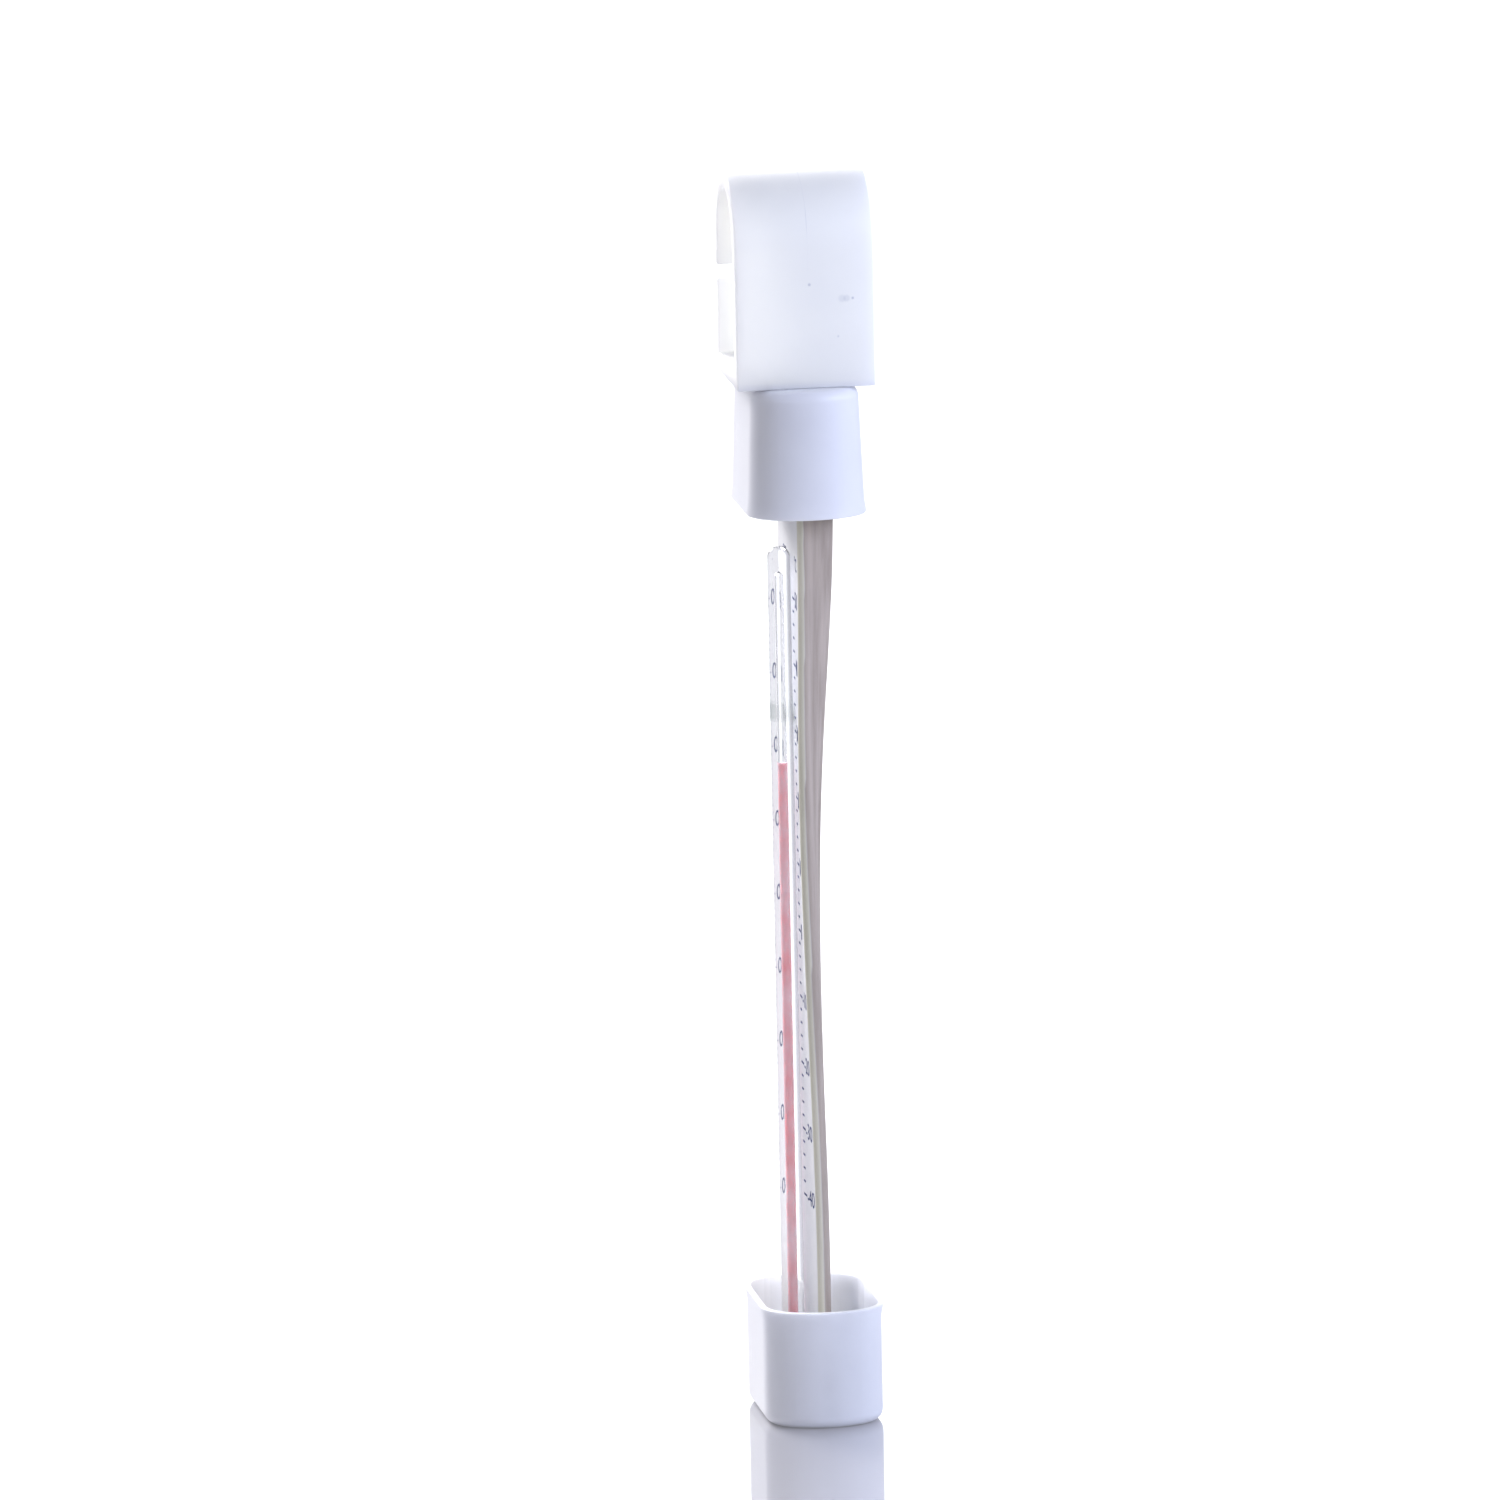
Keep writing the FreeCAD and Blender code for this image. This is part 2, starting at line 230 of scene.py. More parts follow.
def arc_points(centre, radius, start, end, steps):
    angles = [start + (end - start) * i / steps for i in range(steps + 1)]
    return [(centre[0] + radius * math.cos(a), centre[1] + radius * math.sin(a)) for a in angles]


def oval(size, offset, side_steps=10, corner_steps=8, end_steps=44):
    """Closed outline with flat +-Y sides, bowed +-X ends and rounded corners, grown by offset."""
    half_width, half_depth, sagitta, corner_r = size
    end_r = (half_width ** 2 + sagitta ** 2) / (2 * sagitta)
    end_x = half_depth - end_r
    w, r, f = half_width + offset, end_r + offset, corner_r + offset
    fillet_x = end_x + math.sqrt((r - f) ** 2 - (w - f) ** 2)
    turn = math.atan2(w - f, fillet_x - end_x)
    quarter = arc_points((end_x, 0), r, 0, turn, end_steps // 2)
    quarter += arc_points((fillet_x, w - f), f, turn, math.pi / 2, corner_steps)[1:]
    side = [(fillet_x * (1 - i / side_steps), w) for i in range(1, side_steps)]
    right_top = quarter + side + [(0, w)]
    left_top = [(-x, y) for x, y in reversed(right_top[:-1])]
    top = right_top + left_top
    return top + [(x, -y) for x, y in reversed(top[1:-1])]


def ring_loft(name, rings, close=True, sharp_deg=35):
    """Skin over rings of equal length, with a flat lid on each end when close is set."""
    count = len(rings[0])
    verts = [p for ring in rings for p in ring]
    faces = []
    for k in range(len(rings) - 1):
        for i in range(count):
            j = (i + 1) % count
            faces.append((k * count + i, k * count + j, (k + 1) * count + j, (k + 1) * count + i))
    if close:
        last = (len(rings) - 1) * count
        faces.append(tuple(range(count - 1, -1, -1)))
        faces.append(tuple(last + i for i in range(count)))
    obj = new_piece(name, verts, faces, sharp_deg)
    outward(obj)
    smooth(obj, sharp_deg)
    return obj


def turned(name, profile, segments=96, sharp_deg=50):
    """Solid of revolution about the stem's axis from (radius, z) points that start and end at radius 0."""
    verts, faces, rows = [], [], []
    for r, z in profile:
        if r < 1e-6:
            rows.append([len(verts)] * segments)
            verts.append((0, STEM_Y, z))
            continue
        rows.append([len(verts) + i for i in range(segments)])
        for i in range(segments):
            a = 2 * math.pi * i / segments
            verts.append((r * math.cos(a), STEM_Y + r * math.sin(a), z))
    for low, high in zip(rows, rows[1:]):
        for i in range(segments):
            j = (i + 1) % segments
            corners = dict.fromkeys((low[i], low[j], high[j], high[i]))
            if len(corners) > 2:
                faces.append(tuple(corners))
    obj = new_piece(name, verts, faces, sharp_deg)
    outward(obj)
    smooth(obj, sharp_deg)
    return obj


def block(name, low, high):
    xs, ys, zs = zip(low, high)
    verts = [(x, y, z) for x in xs for y in ys for z in zs]
    faces = [(0, 1, 3, 2), (4, 6, 7, 5), (0, 4, 5, 1), (2, 3, 7, 6), (0, 2, 6, 4), (1, 5, 7, 3)]
    return new_piece(name, verts, faces)


def join(target, others):
    """Several shells in one piece."""
    bm = bmesh.new()
    bm.from_mesh(target.data)
    for other in others:
        bm.from_mesh(other.data)
        bpy.data.objects.remove(other)
    bm.to_mesh(target.data)
    bm.free()
    return target


# ---------------------------------------------------------------- materials

TOP_WHITE = ((0.74, 0.75, 0.79), (0.80, 0.81, 0.84))
# the bottom cap's white is a darker copy of the top cap's white: painted shade
BOTTOM_WHITE_PAINTED_SHADE = ((0.68, 0.69, 0.72), (0.74, 0.75, 0.78))
# the clip's white is lighter than the cap's white: painted light for the glow through the clip
CLIP_PAINTED_LIGHT_LOW = (0.84, 0.84, 0.81)
CLIP_PAINTED_LIGHT_HIGH = (0.88, 0.88, 0.84)
SPECK_COLOUR = (0.25, 0.28, 0.40)
CAP_GLOW = 1.2
INSIDE_GLOW = 3.5
CLIP_GLOW = 3.5
SPIRIT_DEEP = (0.95, 0.48, 0.51)
SPIRIT_PALE = (0.99, 0.74, 0.76)
SPIRIT_GLOW = 1.0
PAPER_LOW = (0.84, 0.84, 0.84)
PAPER_HIGH = (0.90, 0.90, 0.89)
EDGE_DARK = (0.63, 0.61, 0.48)
EDGE_LIGHT = (0.81, 0.78, 0.65)
FLAP_DARK = (0.35, 0.295, 0.25)
FLAP_LIGHT = (0.50, 0.43, 0.37)
INK_DARK = (0.012, 0.02, 0.11)
INK_LIGHT = (0.03, 0.05, 0.2)
TUBE_FACE = (0.86, 0.91, 1.0)
TUBE_RIM_PAINTED_REFLECTION = (0.62, 0.70, 0.86)
GLASS_LOW = (0.97, 0.985, 0.98)
GLASS_HIGH = (0.985, 0.99, 1.0)
GLASS_SHADE = (0.58, 0.60, 0.67, 1.0)
FILM_LOW = (0.62, 0.76, 0.68)
FILM_HIGH = (0.74, 0.86, 0.78)
PARTING_STRENGTH = 0.16

# small marks on the clip's side: place, radius and strength
CLIP_SPECKS = [
    ((CLIP_HALF_DEPTH, 0.6, 152.3), 0.22, 0.35),
    ((CLIP_HALF_DEPTH, 4.9, 150.3), 0.55, 0.14),
    ((CLIP_HALF_DEPTH, 5.5, 150.3), 0.50, 0.16),
    ((CLIP_HALF_DEPTH, 6.3, 150.3), 0.20, 0.40),
    ((CLIP_HALF_DEPTH, 4.3, 145.3), 0.16, 0.25),
]


def material(name):
    mat = bpy.data.materials.new(name)
    mat.use_nodes = True
    return mat, mat.node_tree, mat.node_tree.nodes["Principled BSDF"]


def add(tree, kind, **values):
    """New node, with attributes by name and inputs by their socket's name, spaces as underscores."""
    node = tree.nodes.new(kind)
    for key, value in values.items():
        if hasattr(node, key):
            setattr(node, key, value)
        else:
            node.inputs[key.replace("_", " ")].default_value = value
    return node


def math_node(tree, operation, a, b=None):
    node = add(tree, "ShaderNodeMath", operation=operation)
    for i, value in enumerate((a, b)):
        if value is None:
            continue
        if hasattr(value, "links"):
            tree.links.new(value, node.inputs[i])
        else:
            node.inputs[i].default_value = value
    return node.outputs[0]


def object_coords(tree):
    return add(tree, "ShaderNodeTexCoord").outputs["Object"]


def noise(tree, coords, scale, detail=4.0, roughness=0.55):
    node = add(tree, "ShaderNodeTexNoise", Scale=scale, Detail=detail, Roughness=roughness)
    tree.links.new(coords, node.inputs["Vector"])
    return node.outputs["Fac"]


def ramp(tree, factor, stops):
    node = add(tree, "ShaderNodeValToRGB")
    elements = node.color_ramp.elements
    while len(elements) < len(stops):
        elements.new(0.5)
    for element, (position, colour) in zip(elements, stops):
        element.position = position
        element.color = (*colour, 1.0)
    tree.links.new(factor, node.inputs["Fac"])
    return node.outputs["Color"]


def ramp_value(tree, factor, low, high, out_low=0.0, out_high=1.0):
    node = add(tree, "ShaderNodeMapRange")
    tree.links.new(factor, node.inputs["Value"])
    for key, value in (("From Min", low), ("From Max", high), ("To Min", out_low), ("To Max", out_high)):
        node.inputs[key].default_value = value
    return node.outputs["Result"]


def mix_colour(tree, factor, a, b):
    node = add(tree, "ShaderNodeMix", data_type="RGBA")
    for socket, value in ((node.inputs[0], factor), (node.inputs[6], a), (node.inputs[7], b)):
        if hasattr(value, "links"):
            tree.links.new(value, socket)
        elif isinstance(value, float):
            socket.default_value = value
        else:
            socket.default_value = (*value, 1.0)
    return node.outputs[2]


def bump(tree, height, strength, distance_mm):
    node = add(tree, "ShaderNodeBump", Strength=strength, Distance=distance_mm * MM)
    tree.links.new(height, node.inputs["Height"])
    return node.outputs["Normal"]


def band(tree, value, centre, half_width, softness):
    """1 where value is within half_width of centre, falling to 0 over softness."""
    away = math_node(tree, "ABSOLUTE", math_node(tree, "SUBTRACT", value, centre))
    node = add(tree, "ShaderNodeMapRange", interpolation_type="SMOOTHSTEP")
    tree.links.new(away, node.inputs["Value"])
    node.inputs["From Min"].default_value = half_width
    node.inputs["From Max"].default_value = half_width + softness
    node.inputs["To Min"].default_value = 1.0
    node.inputs["To Max"].default_value = 0.0
    return node.outputs["Result"]


def drawn_out(tree, coords, share):
    """Coordinates that stretch a pattern along Z."""
    node = add(tree, "ShaderNodeMapping")
    node.inputs["Scale"].default_value = (1.0, 1.0, share)
    tree.links.new(coords, node.inputs["Vector"])
    return node.outputs[0]


def axes(tree, coords):
    node = add(tree, "ShaderNodeSeparateXYZ")
    tree.links.new(coords, node.inputs[0])
    return node.outputs


def speck(tree, coords, place, radius_mm):
    """1 inside a small spot on the surface at place, in millimetres."""
    node = add(tree, "ShaderNodeVectorMath", operation="DISTANCE")
    tree.links.new(coords, node.inputs[0])
    node.inputs[1].default_value = Vector(place) * MM
    return band(tree, node.outputs["Value"], 0.0, radius_mm * 0.5 * MM, radius_mm * 0.7 * MM)


def inside_wall_glow(tree, coords):
    """How far light soaks in: further on walls that face the middle of the cap."""
    level = add(tree, "ShaderNodeVectorMath", operation="MULTIPLY")
    tree.links.new(coords, level.inputs[0])
    level.inputs[1].default_value = (1.0, 1.0, 0.0)
    away = add(tree, "ShaderNodeVectorMath", operation="DOT_PRODUCT")
    tree.links.new(add(tree, "ShaderNodeTexCoord").outputs["Normal"], away.inputs[0])
    tree.links.new(level.outputs[0], away.inputs[1])
    return ramp_value(tree, away.outputs["Value"], 0.5 * MM, -0.5 * MM, CAP_GLOW * MM, INSIDE_GLOW * MM)


def clip_share(tree, z):
    """0 on the cap and 1 on the clip above it."""
    return ramp_value(tree, z, (TOP_CAP_Z - 0.2) * MM, (TOP_CAP_Z + 1.0) * MM)


def parting_line(tree, coords):
    """1 along the mould's parting line over the clip's arch, worn away in places."""
    y, z = axes(tree, coords)[1:]
    uneven = math_node(tree, "SUBTRACT", noise(tree, coords, 90.0), 0.5)
    wobble = math_node(tree, "MULTIPLY", uneven, 0.3 * MM)
    line = band(tree, math_node(tree, "ADD", y, wobble), PARTING_Y * MM, 0.02 * MM, 0.06 * MM)
    worn = ramp_value(tree, noise(tree, coords, 160.0), 0.4, 0.62)
    high = ramp_value(tree, z, PARTING_FADE[0] * MM, PARTING_FADE[1] * MM)
    return math_node(tree, "MULTIPLY", math_node(tree, "MULTIPLY", line, worn), high)


def white_plastic(name, tone, with_clip=False):
    """Satin white moulding: cloudy tone and fine orange peel.

    Light soaks further into the lower cap's inside walls. On the upper cap it soaks further into the clip,
    which also gets a lighter tone, painted light for that glow, and has a parting line and a few specks.
    """
    mat, tree, shader = material(name)
    coords = object_coords(tree)
    cloud = noise(tree, coords, 55.0)
    colour = ramp(tree, cloud, [(0.3, tone[0]), (0.7, tone[1])])
    peel = noise(tree, coords, 1400.0, 2.0)
    if with_clip:
        above = clip_share(tree, axes(tree, coords)[2])
        # painted light: the clip gets a lighter tone than the cap, standing in for light glowing through it
        thin = ramp(tree, cloud, [(0.3, CLIP_PAINTED_LIGHT_LOW), (0.7, CLIP_PAINTED_LIGHT_HIGH)])
        colour = mix_colour(tree, above, colour, thin)
        glow = ramp_value(tree, above, 0.0, 1.0, CAP_GLOW * MM, CLIP_GLOW * MM)
        line = parting_line(tree, coords)
        colour = mix_colour(tree, math_node(tree, "MULTIPLY", line, PARTING_STRENGTH), colour, SPECK_COLOUR)
        peel = math_node(tree, "ADD", peel, line)
        for place, radius, strength in CLIP_SPECKS:
            spot = math_node(tree, "MULTIPLY", speck(tree, coords, place, radius), strength)
            colour = mix_colour(tree, spot, colour, SPECK_COLOUR)
    else:
        glow = inside_wall_glow(tree, coords)
    tree.links.new(colour, shader.inputs["Base Color"])
    tree.links.new(glow, shader.inputs["Subsurface Scale"])
    rough = ramp_value(tree, noise(tree, coords, 120.0), 0.0, 1.0, 0.34, 0.46)
    tree.links.new(rough, shader.inputs["Roughness"])
    tree.links.new(bump(tree, peel, 0.25, 0.02), shader.inputs["Normal"])
    shader.inputs["Subsurface Weight"].default_value = 1.0
    shader.inputs["Subsurface Radius"].default_value = (1.0, 1.0, 1.0)
    shader.inputs["IOR"].default_value = 1.5
    return mat


def clear_tube_material():
    """Polished clear wall that shows only where it is seen at a grazing angle, with a bluish tint there
    that is a painted reflection.
    """
    mat, tree, shader = material("clear_polystyrene")
    coords = object_coords(tree)
    edge = add(tree, "ShaderNodeLayerWeight", Blend=0.12).outputs["Facing"]
    haze = ramp_value(tree, noise(tree, coords, 45.0), 0.3, 0.8, 0.0, 0.012)
    sheen = math_node(tree, "MULTIPLY", math_node(tree, "POWER", edge, 2.0), 0.42)
    tree.links.new(math_node(tree, "ADD", sheen, haze), shader.inputs["Alpha"])
    # painted reflection: a bluish tint on the wall where it is seen edge-on
    tint = ramp(tree, edge, [(0.0, TUBE_FACE), (1.0, TUBE_RIM_PAINTED_REFLECTION)])
    tree.links.new(tint, shader.inputs["Base Color"])
    lines = noise(tree, drawn_out(tree, coords, 0.03), 500.0, 2.0)
    tree.links.new(bump(tree, lines, 0.15, 0.02), shader.inputs["Normal"])
    shader.inputs["Roughness"].default_value = 0.06
    return mat


def stem_glass_material():
    """Drawn glass with faint draw lines. Lamps shine through it."""
    mat, tree, shader = material("stem_glass")
    coords = object_coords(tree)
    lines = noise(tree, drawn_out(tree, coords, 0.02), 1800.0, 3.0)
    tree.links.new(bump(tree, lines, 0.3, 0.01), shader.inputs["Normal"])
    tint = ramp(tree, noise(tree, coords, 80.0), [(0.2, GLASS_LOW), (0.8, GLASS_HIGH)])
    tree.links.new(tint, shader.inputs["Base Color"])
    shader.inputs["Transmission Weight"].default_value = 1.0
    shader.inputs["Roughness"].default_value = 0.11
    shader.inputs["IOR"].default_value = 1.48
    through = add(tree, "ShaderNodeBsdfTransparent", Color=GLASS_SHADE)
    choose = add(tree, "ShaderNodeMixShader")
    output = tree.nodes["Material Output"]
    tree.links.new(add(tree, "ShaderNodeLightPath").outputs["Is Shadow Ray"], choose.inputs[0])
    tree.links.new(shader.outputs[0], choose.inputs[1])
    tree.links.new(through.outputs[0], choose.inputs[2])
    tree.links.new(choose.outputs[0], output.inputs["Surface"])
    return mat


def spirit_material():
    """Dyed spirit that light soaks into, so that it glows pale red."""
    mat, tree, shader = material("dyed_spirit")
    coords = object_coords(tree)
    colour = ramp(tree, noise(tree, coords, 220.0), [(0.3, SPIRIT_DEEP), (0.7, SPIRIT_PALE)])
    tree.links.new(colour, shader.inputs["Base Color"])
    rough = ramp_value(tree, noise(tree, coords, 300.0), 0.0, 1.0, 0.15, 0.3)
    tree.links.new(rough, shader.inputs["Roughness"])
    shader.inputs["Subsurface Weight"].default_value = 1.0
    shader.inputs["Subsurface Radius"].default_value = (1.0, 0.7, 0.7)
    shader.inputs["Subsurface Scale"].default_value = SPIRIT_GLOW * MM
    return mat


def card_material():
    """White printed board whose fold is buff and whose flaps are dull grey-brown."""
    mat, tree, shader = material("printed_card")
    coords = object_coords(tree)
    paper = ramp(tree, noise(tree, coords, 700.0, 6.0, 0.7), [(0.3, PAPER_LOW), (0.7, PAPER_HIGH)])
    zone = add(tree, "ShaderNodeAttribute", attribute_name="zone")
    zones = axes(tree, zone.outputs["Vector"])
    streak = noise(tree, drawn_out(tree, coords, 0.05), 900.0, 4.0)
    flap = ramp(tree, streak, [(0.3, FLAP_DARK), (0.7, FLAP_LIGHT)])
    buff = ramp(tree, streak, [(0.3, EDGE_DARK), (0.7, EDGE_LIGHT)])
    colour = mix_colour(tree, zones[0], paper, buff)
    colour = mix_colour(tree, zones[1], colour, flap)
    tree.links.new(colour, shader.inputs["Base Color"])
    fibres = noise(tree, coords, 2500.0, 5.0)
    tree.links.new(bump(tree, fibres, 0.3, 0.02), shader.inputs["Normal"])
    tree.links.new(ramp_value(tree, streak, 0.0, 1.0, 0.6, 0.85), shader.inputs["Roughness"])
    shader.inputs["Specular IOR Level"].default_value = 0.1
    return mat


def ink_material():
    """Flat dark blue print."""
    mat, tree, shader = material("scale_ink")
    coords = object_coords(tree)
    colour = ramp(tree, noise(tree, coords, 900.0, 3.0), [(0.3, INK_DARK), (0.7, INK_LIGHT)])
    tree.links.new(colour, shader.inputs["Base Color"])
    shader.inputs["Roughness"].default_value = 0.55
    shader.inputs["Specular IOR Level"].default_value = 0.1
    return mat


def strap_material():
    """Clear greenish film that shows at its edges."""
    mat, tree, shader = material("clear_film")
    coords = object_coords(tree)
    edge = add(tree, "ShaderNodeLayerWeight", Blend=0.3).outputs["Facing"]
    alpha = ramp_value(tree, edge, 0.0, 1.0, 0.04, 0.35)
    tree.links.new(alpha, shader.inputs["Alpha"])
    colour = ramp(tree, noise(tree, coords, 500.0), [(0.2, FILM_LOW), (0.8, FILM_HIGH)])
    tree.links.new(colour, shader.inputs["Base Color"])
    shader.inputs["Roughness"].default_value = 0.15
    return mat


def wear(obj, mat):
    """One material on the whole piece."""
    obj.data.materials.clear()
    obj.data.materials.append(mat)
    return obj


# ---------------------------------------------------------------- caps and clip

CAP_SIZE = (CAP_HALF_WIDTH, CAP_HALF_DEPTH, CAP_SAGITTA, CAP_CORNER_R)


def rounded_end(offset, z_end, radius, inward, steps=7):
    """(offset, z) points of the rounding from a closed end's flat to the wall."""
    points = []
    for i in range(steps + 1):
        a = math.pi / 2 * i / steps
        points.append((offset - radius + radius * math.sin(a), z_end + inward * radius * (1 - math.cos(a))))
    return points


def cap_shell(name, profile):
    rings = [[(x, y, z) for x, y in oval(CAP_SIZE, offset)] for offset, z in profile]
    return ring_loft(name, rings, sharp_deg=40)


def cap_profile(end_z, rim_z, inner_z, end_offset, rim_offset, flare):
    """(offset, z) points over the outside, round the rim and down the inside."""
    way = 1 if rim_z > end_z else -1
    flare_z = rim_z - way * RIM_FLARE_HEIGHT
    share = (flare_z - end_z) / (rim_z - end_z)
    wall_offset = end_offset + (rim_offset - end_offset) * share
    lip = rim_offset + flare
    outside = rounded_end(end_offset, end_z, CAP_EDGE_R, way)
    outside += [(wall_offset, flare_z), (lip - LIP_EASE, rim_z - way * RIM_ROUND * 2)]
    chamfer = RIM_ROUND * RIM_CHAMFER_SHARE
    outside += [(lip, rim_z - way * RIM_ROUND), (lip - chamfer, rim_z - way * chamfer)]
    outside += [(lip - RIM_ROUND, rim_z), (lip - CAP_WALL + RIM_ROUND, rim_z)]
    outside += [(lip - CAP_WALL, rim_z - way * RIM_ROUND), (wall_offset - CAP_WALL, flare_z)]
    inside = rounded_end(end_offset - CAP_WALL, inner_z, CAP_INNER_R, way)
    return outside + inside[::-1]


def ribs(name, z_low, z_high, inset):
    """Locating ribs between the cap's wall and the tube, rooted a little way into the wall."""
    half = RIB_THICKNESS / 2
    wall_y = CAP_HALF_WIDTH - inset - CAP_WALL + RIB_ROOT
    wall_x = CAP_HALF_DEPTH - inset - CAP_WALL + RIB_ROOT
    tube_y = TUBE_HIGH.y + RIB_CLEARANCE
    tube_x = TUBE_HIGH.x + RIB_CLEARANCE
    made = []
    for side in (-1, 1):
        for end in (-1, 1):
            y_low, y_high = sorted((end * tube_y, end * wall_y))
            x = side * RIB_SIDE_X
            made.append(block(name, (x - half, y_low, z_low), (x + half, y_high, z_high)))
        x_low, x_high = sorted((side * tube_x, side * wall_x))
        made.append(block(name, (x_low, -half, z_low), (x_high, half, z_high)))
    return made


def cut_groove(cap, face_y, z_centre):
    low = (GROOVE_X - GROOVE_WIDTH / 2, face_y - GROOVE_CUT_MARGIN, z_centre - GROOVE_HEIGHT / 2)
    high = (GROOVE_X + GROOVE_WIDTH / 2, face_y + GROOVE_DEPTH, z_centre + GROOVE_HEIGHT / 2)
    return combine(cap, block("groove", low, high), "DIFFERENCE")


def make_bottom_cap():
    profile = cap_profile(0.0, CAP_HIGH.z, CAP_FLOOR, 0.0, 0.0, RIM_FLARE)
    cap = cap_shell("bottom_cap_moulding", profile)
    cut_groove(cap, -CAP_HALF_WIDTH, CAP_HIGH.z - GROOVE_FROM_RIM)
    join(cap, ribs("rib", CAP_FLOOR - RIB_ROOT, CAP_FLOOR + RIB_LENGTH, 0.0))
    smooth(cap, sharp_deg=40)
    # the bottom cap wears the darker copy of the caps' white, as painted shade
    wear(cap, white_plastic("bottom_cap_plastic_painted_shade", BOTTOM_WHITE_PAINTED_SHADE))
    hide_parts("bottom_cap")
    return cap


def make_clip():
    """Band bent into a loop, from one lip of the snap gap round to the other."""
    x, inner = CLIP_HALF_DEPTH, CLIP_HALF_DEPTH - CLIP_WALL
    base = TOP_CAP_Z + CLIP_BASE
    outline = [(-x, CLIP_GAP[0]), (-x, TOP_CAP_Z), (x, TOP_CAP_Z)]
    outline += arc_points((0, CLIP_ARCH_Z), x, 0, math.pi, ARCH_STEPS)
    outline += [(-x, CLIP_GAP[1]), (-inner, CLIP_GAP[1])]
    outline += arc_points((0, CLIP_ARCH_Z), inner, math.pi, 0, ARCH_STEPS)
    outline += [(inner, base), (-inner, base), (-inner, CLIP_GAP[0])]
    count = len(outline)
    verts = [(px, side * CLIP_HALF_WIDTH, pz) for side in (-1, 1) for px, pz in outline]
    faces = [tuple(range(count)), tuple(range(2 * count - 1, count - 1, -1))]
    faces += [(i, (i + 1) % count, count + (i + 1) % count, count + i) for i in range(count)]
    clip = new_piece("clip", verts, faces)
    outward(clip)
    bevel = clip.modifiers.new("edges", "BEVEL")
    bevel.width = CLIP_BEVEL * MM
    bevel.segments = 3
    bevel.limit_method = "ANGLE"
    bevel.angle_limit = math.radians(40)
    return apply_modifiers(clip)


def make_top_cap():
    rim_z = TOP_LOW.z
    profile = cap_profile(TOP_CAP_Z, rim_z, TOP_CEILING_Z, -TOP_END_INSET, -TOP_RIM_INSET, RIM_FLARE / 2)
    cap = cap_shell("top_cap_moulding", profile)
    groove_z = rim_z + GROOVE_FROM_RIM
    share = GROOVE_FROM_RIM / (TOP_CAP_Z - rim_z)
    inset = TOP_RIM_INSET + (TOP_END_INSET - TOP_RIM_INSET) * share
    cut_groove(cap, -CAP_HALF_WIDTH + inset, groove_z)
    combine(cap, make_clip(), "UNION")
    join(cap, ribs("rib", TOP_CEILING_Z - RIB_LENGTH, TOP_CEILING_Z + RIB_ROOT, TOP_END_INSET))
    smooth(cap, sharp_deg=40)
    wear(cap, white_plastic("top_cap_plastic_painted_clip_light", TOP_WHITE, with_clip=True))
    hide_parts("top_cap_with_clip")
    return cap


# ---------------------------------------------------------------- tube, stem and spirit

def make_tube():
    """Open tube: outside, top rim, inside and bottom rim in one closed skin."""
    levels = [(0, TUBE_LOW.z), (0, TUBE_HIGH.z), (-TUBE_WALL, TUBE_HIGH.z), (-TUBE_WALL, TUBE_LOW.z)]
    rings = [[(x, y, z) for x, y in oval(TUBE_SIZE, offset)] for offset, z in levels]
    tube = ring_loft("clear_tube", rings + [rings[0]], close=False)
    wear(tube, clear_tube_material())
    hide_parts("housing_tube")
    return tube


def dome(radius, z_pole, up, steps=14):
    """(radius, z) points from the pole of a round end to its wall."""
    angles = [math.pi / 2 * i / steps for i in range(steps + 1)]
    return [(radius * math.sin(a), z_pole + up * radius * (1 - math.cos(a))) for a in angles]


def bore_profile(grow, z_top):
    """(radius, z) points of the bulb's hollow and the bore, grown into the glass by grow."""
    points = dome(BULB_BORE_R + grow, BULB_POLE_Z - grow, 1)
    points += [(BULB_BORE_R + grow, BULB_TOP_Z), (BORE_R + grow, BULB_NECK_Z), (BORE_R + grow, z_top)]
    return points


def make_stem():
    """Glass rod with a round foot and tip, and its hollow as a second skin."""
    outer = dome(STEM_R, STEM_LOW.z, 1)
    outer += dome(STEM_R, STEM_TOP_Z, -1)[::-1]
    stem = turned("glass_stem", outer)
    bore = bore_profile(0, BORE_TOP_Z - BORE_SHOULDER)
    bore += [(BORE_R * BORE_NOSE_SHARE, BORE_TOP_Z - BORE_NOSE), (0, BORE_TOP_Z)]
    hollow = turned("bore", bore)
    hollow.data.flip_normals()
    join(stem, [hollow])
    smooth(stem, sharp_deg=50)
    wear(stem, stem_glass_material())
    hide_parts("capillary_glass")
    return stem


def column_profile(radius, z_low, z_top):
    """(radius, z) points of a length of spirit with a hollowed top."""
    points = [(0, z_low), (radius, z_low), (radius, z_top)]
    for i in range(1, MENISCUS_STEPS):
        a = math.pi / 2 * i / MENISCUS_STEPS
        points.append((radius * math.cos(a), z_top - MENISCUS * math.sin(a)))
    return points + [(0, z_top - MENISCUS)]


def make_spirit(mat):
    """The bulb's filling, the moving thread and the filler, each grown a little into the glass."""
    reservoir = turned("spirit_in_bulb", bore_profile(WETTING, MARK_LOW_Z) + [(0, MARK_LOW_Z)])
    wear(reservoir, mat)
    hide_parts("spirit_bulb")
    moving = turned("spirit_thread", column_profile(BORE_R + THREAD_GROW, THREAD_LOW_Z, READING_Z))
    wear(moving, mat)
    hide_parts("spirit_column")
    filler = turned("spirit_filler", column_profile(BORE_R + FILLER_GROW, FILLER_LOW_Z, FILLER_TOP_Z))
    wear(filler, mat)
    return reservoir, moving, filler


# ---------------------------------------------------------------- card and print

